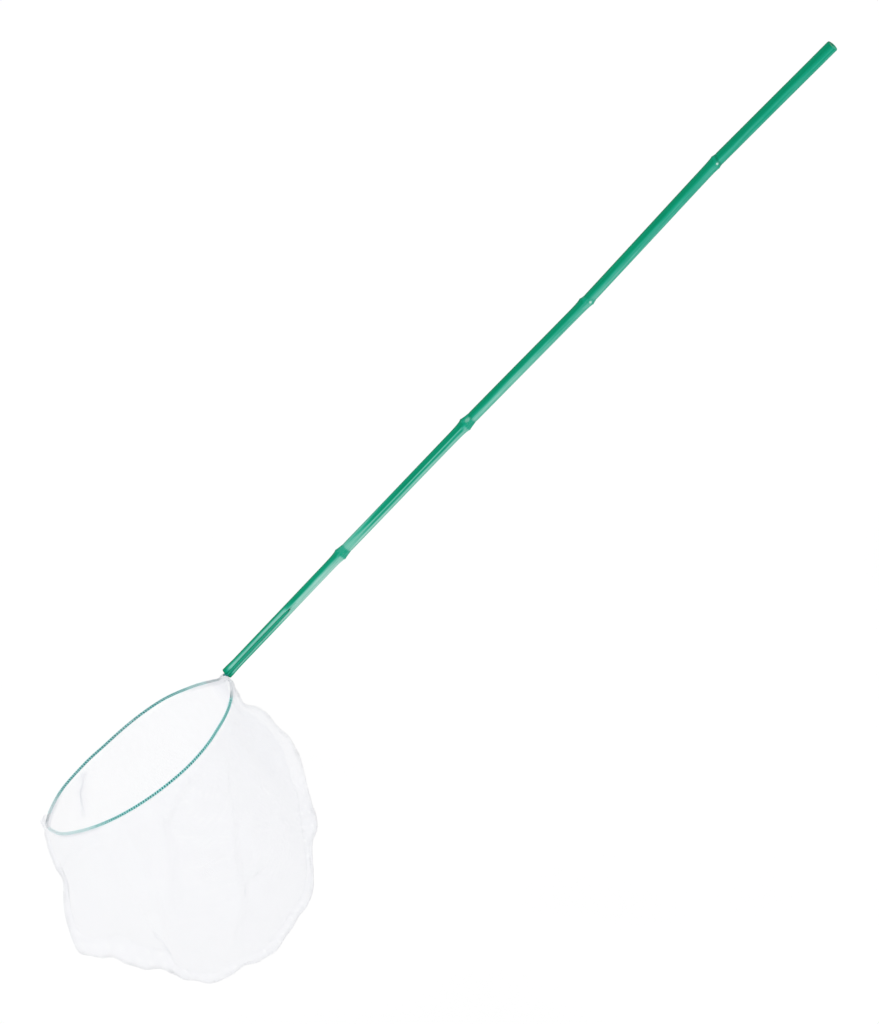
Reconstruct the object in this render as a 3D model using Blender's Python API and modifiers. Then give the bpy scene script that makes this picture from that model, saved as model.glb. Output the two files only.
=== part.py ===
"""Pond net: a split bamboo cane, a wire hoop in its end and a sewn mesh bag.

Metres, +Z up. The net is held in the hand with the cane sloping up to +X, the hoop level
across (along Y) and the bag hanging below it. The origin is on the cane where it is gripped.
"""
import math

import bmesh
import bpy
from mathutils import Vector
from mathutils.geometry import interpolate_bezier

# Cane
CANE_LENGTH = 0.717
CANE_BUTT_DIAMETER = 0.0100
CANE_HOOP_END_DIAMETER = 0.0082
CANE_SLOPE = math.radians(48.4)
CANE_EDGE_ROUND = 0.0008
GRIP_FROM_BUTT = 0.120
NODE_1_PLACE = 0.188
NODE_2_PLACE = 0.405
NODE_3_PLACE = 0.604
NODE_4_PLACE = 0.811
NODE_SWELL = 0.0018
NODE_STEEP_SIDE = 0.0030
NODE_LONG_SIDE = 0.0065
CANE_KINK = 0.0030
SLOT_LENGTH = 0.076

# Wire hoop
WIRE_DIAMETER = 0.0020
HOOP_DIAMETER = 0.181
HOOP_SLOPE = math.radians(36.5)
NECK_RISE = 0.0180
NECK_REACH = 0.0090

# Mesh bag
CLOTH_THICKNESS = 0.0006
HEM_DEPTH = 0.0034
HEM_FLAP = 0.0012
BARE_FRONT = 0.009
BARE_BACK = 0.014
SEAM_ALLOWANCE = 0.0065
SEAM_END_SHARE = 0.35
SEAM_THREAD_DIAMETER = 0.0014
HEM_THREAD_DIAMETER = 0.0007
BAG_FULLNESS = 1.0
NECK_FULLNESS = -0.5
NECK_DROP = 0.012
SEAM_CROWDING = 0.9

# Clearance between touching pieces
CLEAR = 0.0003

# How finely curves are divided
CANE_ROUNDNESS = 6
WIRE_ROUNDNESS = 2
THREAD_ROUNDNESS = 1
WIRE_STEPS = 5
SEAM_STEPS = 8
PANEL_COLUMNS = 48
PANEL_ROWS = 9
SEAM_TAPER = 4

# Directions in the plane of the cane (the XZ plane)
CANE_AXIS = Vector((math.cos(CANE_SLOPE), 0.0, math.sin(CANE_SLOPE)))
CANE_UP = Vector((-math.sin(CANE_SLOPE), 0.0, math.cos(CANE_SLOPE)))
HOOP_AXIS = Vector((math.cos(HOOP_SLOPE), 0.0, math.sin(HOOP_SLOPE)))
HOOP_UP = Vector((-math.sin(HOOP_SLOPE), 0.0, math.cos(HOOP_SLOPE)))
ACROSS = Vector((0.0, 1.0, 0.0))

# Sizes that follow from the ones above
HOOP_RADIUS = HOOP_DIAMETER / 2
WIRE_RADIUS = WIRE_DIAMETER / 2
TAIL_OFFSET = WIRE_RADIUS + CLEAR / 2
TAIL_LENGTH = SLOT_LENGTH - WIRE_DIAMETER
SLOT_WIDTH = WIRE_DIAMETER + 2 * CLEAR
SLOT_FLOOR = TAIL_OFFSET + WIRE_RADIUS + CLEAR
HEM_RADIUS = WIRE_RADIUS + CLEAR + CLOTH_THICKNESS / 2
HEM_PINCH = HEM_THREAD_DIAMETER / 2 + CLEAR + CLOTH_THICKNESS / 2
PANEL_OFFSET = (CLEAR + CLOTH_THICKNESS) / 2
NODE_PLACES = (NODE_1_PLACE, NODE_2_PLACE, NODE_3_PLACE, NODE_4_PLACE)

# Sideways kink of the cane at its butt, its four nodes and its hoop end, as shares of CANE_KINK
KINK_SHARES = (0.05, 1.0, 0.05, 0.65, 0.63, 0.45)

# The hoop was bent by hand: turns from the cane's side in degrees, and radii in hoop radii,
# on its front half and its back half, and at the far tip where they meet
HOOP_FRONT = (
    (27, 0.998),
    (45, 1.035),
    (62, 1.057),
    (80, 1.035),
    (98, 1.002),
    (117, 0.969),
    (138, 0.960),
    (156, 0.981),
)
HOOP_BACK = (
    (34, 1.035),
    (44, 1.008),
    (56, 1.002),
    (74, 1.018),
    (88, 1.000),
    (101, 0.966),
    (115, 0.940),
    (130, 0.963),
    (152, 1.000),
)
HOOP_TIP = 1.015

# Necks from the hoop up to the cane: towards the cane, out to the side and up, in hoop radii
NECK_FRONT = ((1.098, 0.088, 0.144), (1.055, 0.199, 0.072), (0.982, 0.309, 0.022))
NECK_BACK = ((0.972, 0.295, 0.102),)

# Seam of the bag, hung from the hoop: X and Z from the hoop's middle in hoop radii,
# from the far tip down, along the bottom and up to the cane
SEAM_SHAPE = (
    (-0.79, -0.72),
    (-0.71, -0.97),
    (-0.63, -1.17),
    (-0.61, -1.43),
    (-0.55, -1.69),
    (-0.42, -1.84),
    (-0.05, -1.92),
    (0.22, -1.98),
    (0.50, -2.06),
    (0.70, -2.03),
    (1.00, -1.87),
    (1.22, -1.66),
    (1.40, -1.33),
    (1.44, -1.00),
    (1.44, -0.62),
    (1.36, -0.12),
    (1.18, 0.22),
    (0.90, 0.52),
    (0.80, 0.66),
)


def clear_scene():
    for item in list(bpy.data.objects):
        bpy.data.objects.remove(item, do_unlink=True)
    for group in list(bpy.data.collections):
        bpy.data.collections.remove(group)


def make_collection(name):
    group = bpy.data.collections.new(name)
    bpy.context.scene.collection.children.link(group)
    return group


def make_material(name, colour, roughness, metallic=0.0):
    material = bpy.data.materials.new(name)
    material.use_nodes = True
    shader = material.node_tree.nodes["Principled BSDF"]
    shader.inputs["Base Color"].default_value = (*colour, 1.0)
    shader.inputs["Roughness"].default_value = roughness
    shader.inputs["Metallic"].default_value = metallic
    return material


def add_mesh(name, mesh, group, material=None):
    item = bpy.data.objects.new(name, mesh)
    group.objects.link(item)
    if material is not None:
        mesh.materials.clear()
        mesh.materials.append(material)
    return item


def swept_mesh(name, points, depth, roundness, scales=None):
    """A round rod along the points, as a closed mesh; scales vary its radius."""
    curve = bpy.data.curves.new(name + "_path", "CURVE")
    curve.dimensions = "3D"
    curve.bevel_depth = depth
    curve.bevel_resolution = round(roundness)
    curve.use_fill_caps = True
    spline = curve.splines.new("POLY")
    spline.points.add(len(points) - 1)
    for index, point in enumerate(points):
        spline.points[index].co = (*point, 1.0)
        spline.points[index].radius = scales[index] if scales else 1.0
    rod = bpy.data.objects.new(name + "_path", curve)
    bpy.context.scene.collection.objects.link(rod)
    bpy.context.view_layer.update()
    shape = rod.evaluated_get(bpy.context.evaluated_depsgraph_get())
    mesh = bpy.data.meshes.new_from_object(shape)
    mesh.name = name
    bpy.data.objects.remove(rod, do_unlink=True)
    bpy.data.curves.remove(curve)
    cage = bmesh.new()
    cage.from_mesh(mesh)
    bmesh.ops.remove_doubles(cage, verts=cage.verts, dist=1e-6)
    bmesh.ops.recalc_face_normals(cage, faces=cage.faces)
    cage.to_mesh(mesh)
    cage.free()
    return mesh


def even_points(points, count, crowding=0.0):
    """The same path with its points at even distances, or crowded towards its end."""
    lengths = [0.0]
    for start, end in zip(points, points[1:]):
        lengths.append(lengths[-1] + (end - start).length)
    evened = []
    leg = 0
    for step in range(count + 1):
        place = step / count
        target = lengths[-1] * (place + crowding * place ** 8 * (1 - place))
        while leg < len(points) - 2 and lengths[leg + 1] < target:
            leg += 1
        share = (target - lengths[leg]) / (lengths[leg + 1] - lengths[leg])
        evened.append(points[leg].lerp(points[leg + 1], share))
    return evened


def smooth_path(points, steps):
    """A smooth curve through the points."""
    path = []
    for index in range(len(points) - 1):
        start = points[index]
        end = points[index + 1]
        before = points[index - 1] if index > 0 else start
        after = points[index + 2] if index + 2 < len(points) else end
        leave = start + (end - before) / 6
        arrive = end - (after - start) / 6
        path += interpolate_bezier(start, leave, arrive, end, steps + 1)[:-1]
    path.append(points[-1])
    return path


clear_scene()
net_parts = make_collection("pond_net")
cutters = make_collection("cutters")
cutters.hide_render = True

green_bamboo = make_material("green_bamboo", (0.008, 0.300, 0.170), 0.32)
green_wire = make_material("green_wire", (0.006, 0.230, 0.150), 0.35)
white_mesh = make_material("white_mesh", (0.86, 0.87, 0.90), 0.75)
white_thread = make_material("white_thread", (0.90, 0.90, 0.91), 0.65)


# Cane: a tapering rod with four swollen nodes, slightly kinked at each, split at its hoop end
def cane_kink(share):
    places = (0.0, *NODE_PLACES, 1.0)
    for index in range(len(places) - 1):
        if share <= places[index + 1] or index == len(places) - 2:
            leg = (share - places[index]) / (places[index + 1] - places[index])
            return CANE_KINK * (KINK_SHARES[index] * (1 - leg) + KINK_SHARES[index + 1] * leg)
    return 0.0


def cane_point(share):
    along = CANE_AXIS * (GRIP_FROM_BUTT - CANE_LENGTH * share)
    return along + CANE_UP * (cane_kink(share) - cane_kink(GRIP_FROM_BUTT / CANE_LENGTH))


def cane_radius(share):
    diameter = CANE_BUTT_DIAMETER + (CANE_HOOP_END_DIAMETER - CANE_BUTT_DIAMETER) * share
    for place in NODE_PLACES:
        away = (share - place) * CANE_LENGTH
        reach = NODE_LONG_SIDE if away > 0 else NODE_STEEP_SIDE
        diameter += NODE_SWELL * math.exp(-((away / reach) ** 2))
    return diameter / 2


edge_share = CANE_EDGE_ROUND / CANE_LENGTH
stations = {edge_share, 1.0}
for place in NODE_PLACES:
    for step in (-2.2, -1.4, -0.8, -0.3):
        stations.add(place + step * NODE_STEEP_SIDE / CANE_LENGTH)
    for step in (0.0, 0.4, 0.8, 1.3, 2.0):
        stations.add(place + step * NODE_LONG_SIDE / CANE_LENGTH)
for start, end in zip((0.0, *NODE_PLACES), (*NODE_PLACES, 1.0)):
    for step in (0.3, 0.5, 0.7):
        stations.add(start + (end - start) * step)
stations = sorted(stations)
cane_points = [cane_point(0.0)] + [cane_point(share) for share in stations]
cane_radii = [cane_radius(0.0) - CANE_EDGE_ROUND] + [cane_radius(share) for share in stations]
thickest = max(cane_radii)
cane_mesh = swept_mesh(
    "bamboo_cane", cane_points, thickest, CANE_ROUNDNESS, [radius / thickest for radius in cane_radii]
)
cane = add_mesh("bamboo_cane", cane_mesh, net_parts, green_bamboo)

cane_end = cane_point(1.0)
slot_axis = (cane_point(NODE_4_PLACE) - cane_end).normalized()
slot_side = ACROSS.cross(slot_axis)
slot_front = -2 * thickest
slot_start = -thickest
slot_mesh = bpy.data.meshes.new("wire_slot")
slot_cage = bmesh.new()
bmesh.ops.create_cube(slot_cage, size=1.0)
for vertex in slot_cage.verts:
    along = SLOT_LENGTH if vertex.co.x > 0 else slot_start
    across = SLOT_FLOOR if vertex.co.y > 0 else slot_front
    vertex.co = cane_end + slot_axis * along + ACROSS * across + slot_side * (SLOT_WIDTH * vertex.co.z)
slot_cage.normal_update()
bmesh.ops.recalc_face_normals(slot_cage, faces=slot_cage.faces)
slot_cage.to_mesh(slot_mesh)
slot_cage.free()
slot = add_mesh("wire_slot", slot_mesh, cutters)
slot.display_type = "WIRE"
slot.hide_render = True
split = cane.modifiers.new("split", "BOOLEAN")
split.operation = "DIFFERENCE"
split.solver = "EXACT"
split.object = slot

# Wire: the front tail in the slot, down the neck, round the hoop and back up to the rear tail
hoop_middle = cane_end - HOOP_AXIS * (HOOP_RADIUS + NECK_REACH) - HOOP_UP * NECK_RISE


def hoop_point(turn, reach, side):
    """A point of the hoop, turned from the cane's side towards -Y or +Y, as side says."""
    angle = math.radians(turn)
    radius = HOOP_RADIUS * reach
    return hoop_middle + HOOP_AXIS * (radius * math.cos(angle)) + ACROSS * (side * radius * math.sin(angle))


def half_hoop(necks, turns, side):
    """The corners of half of the wire, from the cane to just before the far tip."""
    tail = cane_end + ACROSS * (side * TAIL_OFFSET)
    corners = [tail + slot_axis * TAIL_LENGTH, tail + slot_axis * WIRE_DIAMETER, tail]
    corners.append(tail - slot_axis * WIRE_DIAMETER)
    for towards, out, up in necks:
        step = HOOP_AXIS * towards + ACROSS * (side * out) + HOOP_UP * up
        corners.append(hoop_middle + step * HOOP_RADIUS)
    return corners + [hoop_point(turn, reach, side) for turn, reach in turns]


front_corners = half_hoop(NECK_FRONT, HOOP_FRONT, -1.0)
back_corners = half_hoop(NECK_BACK, HOOP_BACK, 1.0)
wire_corners = front_corners + [hoop_point(180, HOOP_TIP, 1.0)] + back_corners[::-1]
wire_line = smooth_path(wire_corners, WIRE_STEPS)
to_cane = 2 * WIRE_STEPS
to_tip = len(front_corners) * WIRE_STEPS
wire_points = [wire_line[0]] + wire_line[to_cane:-to_cane] + [wire_line[-1]]
wire_mesh = swept_mesh("hoop_wire", wire_points, WIRE_RADIUS, WIRE_ROUNDNESS)
add_mesh("hoop_wire", wire_mesh, net_parts, green_wire)

# Bag: two mesh panels, each folded over half of the wire and sewn to the other round a U seam
seam_points = []
for across, height in SEAM_SHAPE:
    seam_points.append(hoop_middle + Vector((across * HOOP_RADIUS, 0.0, height * HOOP_RADIUS)))
seam = even_points(smooth_path(seam_points, SEAM_STEPS), PANEL_COLUMNS, SEAM_CROWDING)


def hem_line(from_cane, bare):
    """The wire inside one hem, from the far tip to where the bare wire near the cane starts."""
    walked = 0.0
    for index in range(len(from_cane) - 1):
        walked += (from_cane[index + 1] - from_cane[index]).length
        if walked >= bare:
            return even_points(from_cane[:index:-1], PANEL_COLUMNS)
    return from_cane


front_rim = hem_line(wire_line[to_cane:to_tip + 1], BARE_FRONT)
back_rim = hem_line(wire_line[to_tip:-to_cane][::-1], BARE_BACK)


def outward(path, index):
    """The direction out of the bag, across its seam."""
    before = path[max(index - 1, 0)]
    after = path[min(index + 1, len(path) - 1)]
    return ACROSS.cross(after - before).normalized()


def seam_margin(index):
    """The width of cloth outside the seam, narrower beside the cane."""
    return SEAM_ALLOWANCE * min(1.0, SEAM_END_SHARE + (PANEL_COLUMNS - index) / SEAM_TAPER)


def rim_frame(rim, index):
    """Out of the hoop and up from it, square to the wire."""
    before = rim[max(index - 1, 0)]
    after = rim[min(index + 1, len(rim) - 1)]
    tangent = (after - before).normalized()
    if index == 0:
        tangent = ACROSS.copy()
    out = rim[index] - hoop_middle
    out = (out - tangent * out.dot(tangent)).normalized()
    up = out.cross(tangent)
    if up.dot(HOOP_UP) < 0:
        up.negate()
    return out, up


def hem_section():
    """The fold over the wire, from the inner flap to the outer stitch line, as out and up."""
    section = [(-HEM_PINCH, -HEM_DEPTH - HEM_FLAP), (-HEM_PINCH, -HEM_DEPTH)]
    for turn in (200, 160, 120, 90, 60, 20, -20):
        angle = math.radians(turn)
        section.append((HEM_RADIUS * math.cos(angle), HEM_RADIUS * math.sin(angle)))
    section.append((HEM_PINCH, -HEM_DEPTH))
    return section


def ease(share):
    """A smooth step from 0 to 1."""
    share = min(1.0, max(0.0, share))
    return share * share * (3 - 2 * share)


def panel_rows(rim, side, index):
    """The points of one column of a panel, from the hem flap to the seam's edge."""
    out, up = rim_frame(rim, index)
    rows = [rim[index] + out * across + up * height for across, height in hem_section()]
    hem_edge = rows[-1]
    sewn = seam[index] + ACROSS * (side * PANEL_OFFSET)
    # Beside the cane the panel sags: in to the middle, and down
    place = index / PANEL_COLUMNS
    fullness = NECK_FULLNESS + (BAG_FULLNESS - NECK_FULLNESS) * ease((0.92 - place) / 0.30)
    drop = min(NECK_DROP, (sewn - hem_edge).length / 4) * ease((place - 0.70) / 0.12)
    for step in range(1, PANEL_ROWS + 1):
        share = step / PANEL_ROWS
        bow = share * (1 - share)
        point = hem_edge.lerp(sewn, share)
        point.y += fullness * bow * (hem_edge.y - sewn.y)
        point.z -= drop * 4 * bow
        rows.append(point)
    rows.append(sewn + outward(seam, index) * seam_margin(index))
    for point in rows:
        point.y = side * max(side * point.y, PANEL_OFFSET)
    return rows


def make_panel(name, rim, side):
    mesh = bpy.data.meshes.new(name)
    cage = bmesh.new()
    grid = []
    for index in range(PANEL_COLUMNS + 1):
        grid.append([cage.verts.new(point) for point in panel_rows(rim, side, index)])
    for left, right in zip(grid, grid[1:]):
        for row in range(len(left) - 1):
            cage.faces.new((left[row], left[row + 1], right[row + 1], right[row]))
    bmesh.ops.recalc_face_normals(cage, faces=cage.faces)
    cage.to_mesh(mesh)
    cage.free()
    panel = add_mesh(name, mesh, net_parts, white_mesh)
    shell = panel.modifiers.new("cloth", "SOLIDIFY")
    shell.thickness = CLOTH_THICKNESS
    shell.offset = 0.0
    shell.use_even_offset = True
    return panel


make_panel("net_front_panel", front_rim, -1.0)
make_panel("net_back_panel", back_rim, 1.0)

# Seam: overlock thread round the edge of both panels
edge_path = []
for index in range(PANEL_COLUMNS + 1):
    reach = seam_margin(index) + CLEAR + SEAM_THREAD_DIAMETER / 2
    edge_path.append(seam[index] + outward(seam, index) * reach)
seam_mesh = swept_mesh("seam_overlock", edge_path, SEAM_THREAD_DIAMETER / 2, THREAD_ROUNDNESS)
add_mesh("seam_overlock", seam_mesh, net_parts, white_thread)


# Hem stitching: a thread under the wire, between the two layers of each hem
def make_hem_stitch(name, rim):
    line = [rim[index] - rim_frame(rim, index)[1] * HEM_DEPTH for index in range(1, PANEL_COLUMNS)]
    stitch = swept_mesh(name, line, HEM_THREAD_DIAMETER / 2, THREAD_ROUNDNESS)
    add_mesh(name, stitch, net_parts, white_thread)


make_hem_stitch("hem_stitch_front", front_rim)
make_hem_stitch("hem_stitch_back", back_rim)
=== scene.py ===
"""Pond net: a dyed bamboo cane, a wire hoop and a white mesh bag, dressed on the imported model."""
import math

import bmesh
import bpy
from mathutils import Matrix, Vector, noise
from mathutils.geometry import interpolate_bezier


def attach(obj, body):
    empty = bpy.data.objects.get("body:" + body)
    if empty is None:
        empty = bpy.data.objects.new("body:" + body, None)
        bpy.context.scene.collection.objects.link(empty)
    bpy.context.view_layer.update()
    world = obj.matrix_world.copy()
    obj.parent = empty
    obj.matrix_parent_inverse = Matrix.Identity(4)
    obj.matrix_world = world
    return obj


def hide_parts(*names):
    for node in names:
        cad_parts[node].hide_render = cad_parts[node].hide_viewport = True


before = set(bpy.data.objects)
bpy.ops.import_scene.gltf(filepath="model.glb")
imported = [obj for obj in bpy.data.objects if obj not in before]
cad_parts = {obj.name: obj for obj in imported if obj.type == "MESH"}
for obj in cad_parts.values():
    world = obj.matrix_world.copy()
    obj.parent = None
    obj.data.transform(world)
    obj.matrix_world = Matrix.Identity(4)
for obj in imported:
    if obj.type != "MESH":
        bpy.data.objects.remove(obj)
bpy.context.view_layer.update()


# Cane: one thin bamboo stem with four nodes, dyed green and varnished, cut square at the butt.
# Its lower end is split for the wire. Each node has a raised scar ring and a darker band, and
# between the last two nodes runs the double flute that bamboo grows beside a branch.
# The stem's colour carries painted light: a painted highlight on the side that faces down, painted shade on
# the top and far side, in the flutes and in the nodes' grooves, and painted glints on two nodes.
CANE_LENGTH = 0.717
CANE_BUTT_RADIUS = 0.0050
CANE_TIP_RADIUS = 0.0041
CANE_SLOPE = math.radians(48.4)
GRIP_FROM_BUTT = 0.120
CANE_EDGE_ROUND = 0.0008
PITH_RADIUS = 0.0011
PITH_DEPTH = 0.0016
# Rings of the hollow pith from its floor out: share of the pith's radius and of its depth
PITH_RINGS = ((0.45, 1.0), (0.85, 0.7), (1.0, 0.0))
BUTT_RING = 0.5
CANE_SPOKES = 72
SPOKE_CROWDING = 0.72
# Each node: distance from the butt, swell, width and strength of its band, lean, and darkness of the painted
# shade in its groove
CANE_NODES = (
    (0.1348, 0.00048, 0.0036, 0.5, 0.0012, 0.80),
    (0.2903, 0.00080, 0.0046, 0.5, -0.0024, 0.20),
    (0.4322, 0.00115, 0.0082, 0.8, 0.0003, 0.30),
    (0.5807, 0.00110, 0.0080, 0.8, -0.0003, 0.25),
)
NODE_LEAN_TURN = math.radians(15.5)
NODE_FALL = 0.0036
NODE_RISE_POWER = 1.35
SCAR_LIP = 0.00016
SCAR_WIDTH = 0.0006
BAND_GROOVE = 0.00010
GROOVE_SHADE_WIDTH = 0.0010
BAND_MARGIN = 0.0005
BAND_BLUR = 0.0018
# Distance from the butt and sideways bend of the stem at its ends and nodes
CANE_BENDS = (
    (0.0, 0.00015),
    (0.1348, 0.0030),
    (0.2903, 0.00015),
    (0.4330, 0.00195),
    (0.5810, 0.00189),
    (0.717, 0.00135),
)
FLUTE_TURNS = (math.radians(33), math.radians(-4))
FLUTE_HALF = math.radians(16)
FLUTE_DEPTH = 0.00050
# How much of the lighter colour painted shade takes away in the flutes, and how much narrower than the
# flutes it lies
FLUTE_SHADE = 0.75
FLUTE_SHADE_NARROWING = 1.5
FLUTE_GAP = 0.001
FLUTE_START_RUN = 0.004
FLUTE_END_RUN = 0.035
# Turn and strength of the painted highlights along the ridges beside the flutes
RIDGE_HIGHLIGHTS = ((16, 0.30), (-27, 0.26))
RIDGE_HALF = 5.5
SLOT_LENGTH = 0.076
SLOT_HALF_WIDTH = 0.00104
SLOT_DEPTH = 0.0062
SLOT_LIP = 0.00045
SLOT_LIP_SHARE = 0.6
SLOT_START_RUN = 0.006
SLOT_MOUTH_MARGIN = 0.05
NO_GAP = 1e-6
CRACK_LENGTH = 0.010
CRACK_OPENING = 0.35
CRACK_DEPTH_SHARE = 0.25
END_FLARE = 0.00045
END_FLARE_LENGTH = 0.014
# How far out of round the stem is, as shares of its radius, and how fast that winds along it
OVAL_SHARE = 0.010
OVAL_WINDING = 25
LUMP_SHARE = 0.004
LUMP_WINDING = 60
# Distance from the butt and how much lighter the side that faces down is there, partly dye faded by light
# and partly painted highlight
CANE_FADE_AND_HIGHLIGHT = (
    (0.0, 0.28),
    (0.10, 0.38),
    (0.20, 0.47),
    (0.25, 0.50),
    (0.29, 0.56),
    (0.36, 0.66),
    (0.40, 0.72),
    (0.52, 0.74),
    (0.575, 0.78),
    (0.59, 0.96),
    (0.635, 0.96),
    (0.66, 0.50),
    (0.717, 0.42),
)
# Distance from the butt and what share of that lightening the side that faces up has
SHADED_SIDE_SHARE = (
    (0.0, 0.03),
    (0.43, 0.06),
    (0.50, 0.12),
    (0.54, 0.60),
    (0.575, 0.85),
    (0.583, 0.15),
    (0.717, 0.06),
)
BAND_FADE = 0.28
# Turns in degrees at which the lit side with its painted highlight, the underside and the far side begin,
# and their soft runs
LIT_SIDE_FROM = 40
LIT_SIDE_RUN = 50
UNDER_FROM = -60
UNDER_RUN = 80
UNDER_LOSS = 0.75
FAR_FROM = 150
FAR_RUN = 30
DARK_END = 0.0005
DARK_END_RUN = 0.006
# Painted shade on the top and far side, and the turns in degrees between which it lies
TOP_SHADE = 0.40
TOP_SHADE_FROM = 60
TOP_SHADE_FROM_RUN = 40
TOP_SHADE_TO = 200
TOP_SHADE_TO_RUN = 60
# Turn, half width and strength of the painted highlights on the split's two lips
SLOT_LIP_HIGHLIGHTS = ((36, 22, 0.72), (-28, 6, 0.48))
# Pale spots on three nodes, painted glints on the first two and a rubbed spot on the third: distance from
# the butt, turn, half length, half width and paleness
NODE_GLINTS_AND_RUB = (
    (0.1334, -6, 0.0010, 10, 0.85),
    (0.2873, -17, 0.0011, 12, 0.75),
    (0.4268, 32, 0.0024, 19, 0.26),
)
# Colours from full dye to bleached and lit, by how far faded dye and painted highlight lighten the stem
DYE_AND_HIGHLIGHT_COLOURS = (
    (0.0, (0.0, 0.255, 0.128, 1.0)),
    (0.25, (0.005, 0.335, 0.200, 1.0)),
    (0.50, (0.058, 0.425, 0.305, 1.0)),
    (0.75, (0.190, 0.545, 0.430, 1.0)),
    (1.0, (0.350, 0.650, 0.560, 1.0)),
)
GLINT_AND_RUB_GREEN = (0.66, 0.90, 0.82, 1.0)
BARE_STRAW = (0.40, 0.60, 0.44, 1.0)
# Scale of each pattern in the dye, twice across the stem and once along it
FIBRE_SCALE = (2600.0, 2600.0, 36.0)
STREAK_SCALE = (700.0, 700.0, 14.0)
BLOTCH_SCALE = (160.0, 160.0, 60.0)
SPECK_SCALE = (1500.0, 1500.0, 900.0)
# Where the sections of the stem stand: about each node, between the bends, along the split and on the
# butt's rounded edge
NODE_STATIONS = range(-20, 26)
NODE_STATION_STEP = 0.0006
BEND_STATIONS = 16
SLOT_STATIONS = 46
SLOT_STATION_STEP = 0.0019
EDGE_TURNS = (0, 25, 50, 75)

CANE_AXIS = Vector((math.cos(CANE_SLOPE), 0.0, math.sin(CANE_SLOPE)))
CANE_UP = Vector((-math.sin(CANE_SLOPE), 0.0, math.cos(CANE_SLOPE)))
FRONT = Vector((0.0, -1.0, 0.0))


def between(table, place):
    """The value of a table of (place, value) pairs at a place, in straight lines between them."""
    for (start, low), (end, high) in zip(table, table[1:]):
        if place <= end:
            share = max(0.0, (place - start) / (end - start))
            return low + (high - low) * share
    return table[-1][1]


def ease(share):
    """A share from 0 to 1 with a soft start and end."""
    share = min(1.0, max(0.0, share))
    return share * share * (3 - 2 * share)


def cane_centre(down):
    """The middle of the stem at a distance from its butt."""
    bend = between(CANE_BENDS, down) - between(CANE_BENDS, GRIP_FROM_BUTT)
    return CANE_AXIS * (GRIP_FROM_BUTT - down) + CANE_UP * bend


def node_form(down, turn):
    """How far the skin stands out for the nodes, and how much of a band and of painted shade in its groove
    is there.
    """
    rise = 0.0
    band = 0.0
    groove = 0.0
    for place, swell, width, strength, lean, groove_darkness in CANE_NODES:
        past = down - place + lean * math.sin(turn - NODE_LEAN_TURN)
        if past > 0:
            rise += swell * math.exp(-past / NODE_FALL)
        elif past > -width:
            rise += swell * ((past + width) / width) ** NODE_RISE_POWER
        rise += SCAR_LIP * math.exp(-((past / SCAR_WIDTH) ** 2))
        rise -= BAND_GROOVE * math.exp(-(((past + width) / SCAR_WIDTH) ** 2))
        # Painted shade in the groove at the foot of each node's band.
        groove = max(groove, groove_darkness * math.exp(-(((past + width) / GROOVE_SHADE_WIDTH) ** 2)))
        banded = ease((past + width + BAND_MARGIN) / BAND_BLUR) * ease((BAND_MARGIN - past) / BAND_BLUR)
        band = max(band, strength * banded)
    return rise, band, groove


def fluting(down):
    """How much of the double flute's depth there is at a distance from the butt, from 0 to 1."""
    start = ease((down - CANE_NODES[2][0] - FLUTE_GAP) / FLUTE_START_RUN)
    return start * ease((CANE_NODES[3][0] - CANE_NODES[3][2] - FLUTE_GAP - down) / FLUTE_END_RUN)


def cane_skin(down, turn):
    """Radius of the stem at a distance from the butt and a turn from its front towards its top."""
    radius = CANE_BUTT_RADIUS + (CANE_TIP_RADIUS - CANE_BUTT_RADIUS) * down / CANE_LENGTH
    radius += node_form(down, turn)[0]
    radius += END_FLARE * ease((down - CANE_LENGTH + END_FLARE_LENGTH) / END_FLARE_LENGTH)
    fluted = fluting(down)
    for middle in FLUTE_TURNS:
        across = (turn - middle) / FLUTE_HALF
        if abs(across) < 1:
            radius -= FLUTE_DEPTH * fluted * (1 - across * across) ** 2
    oval = OVAL_SHARE * math.sin(2 * turn + OVAL_WINDING * down)
    lumps = LUMP_SHARE * math.sin(3 * turn - LUMP_WINDING * down)
    return radius * (1 + oval + lumps)


def slot_opening(down):
    """Half width and depth of the split at a distance from the butt."""
    inside = down - (CANE_LENGTH - SLOT_LENGTH)
    if inside > 0:
        open_share = CRACK_OPENING + (1 - CRACK_OPENING) * ease(inside / SLOT_START_RUN)
    else:
        open_share = CRACK_OPENING * ease((inside + CRACK_LENGTH) / CRACK_LENGTH)
    depth = SLOT_DEPTH * (open_share if inside > 0 else CRACK_DEPTH_SHARE * open_share)
    return SLOT_HALF_WIDTH * open_share, depth


def cane_section(down, turn):
    """A point of the stem's section as (front, up) from its middle, with the split worked in."""
    half, depth = slot_opening(down)
    radius = cane_skin(down, turn)
    round_point = (radius * math.cos(turn), radius * math.sin(turn))
    if half < NO_GAP:
        return round_point
    mouth = math.asin((SLOT_HALF_WIDTH + SLOT_LIP) / radius) + SLOT_MOUTH_MARGIN
    if abs(turn) >= mouth:
        return round_point
    lip = min(SLOT_LIP, depth, SLOT_LIP_SHARE * half)
    lip_turn = math.asin((half + lip) / radius)
    skin_run = radius * (mouth - lip_turn)
    lip_run = lip * math.pi / 2
    wall_run = depth - lip
    way = (1 - abs(turn) / mouth) * (skin_run + lip_run + wall_run + half)
    side = 1.0 if turn >= 0 else -1.0
    top = radius * math.cos(lip_turn)
    if way < skin_run:
        at = mouth - way / radius
        return (radius * math.cos(at), side * radius * math.sin(at))
    way -= skin_run
    if way < lip_run:
        curl = way / lip
        return (top - lip * (1 - math.cos(curl)), side * (half + lip - lip * math.sin(curl)))
    way -= lip_run
    if way < wall_run:
        return (top - lip - way, side * half)
    return (top - depth, side * max(0.0, half - (way - wall_run)))


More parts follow.
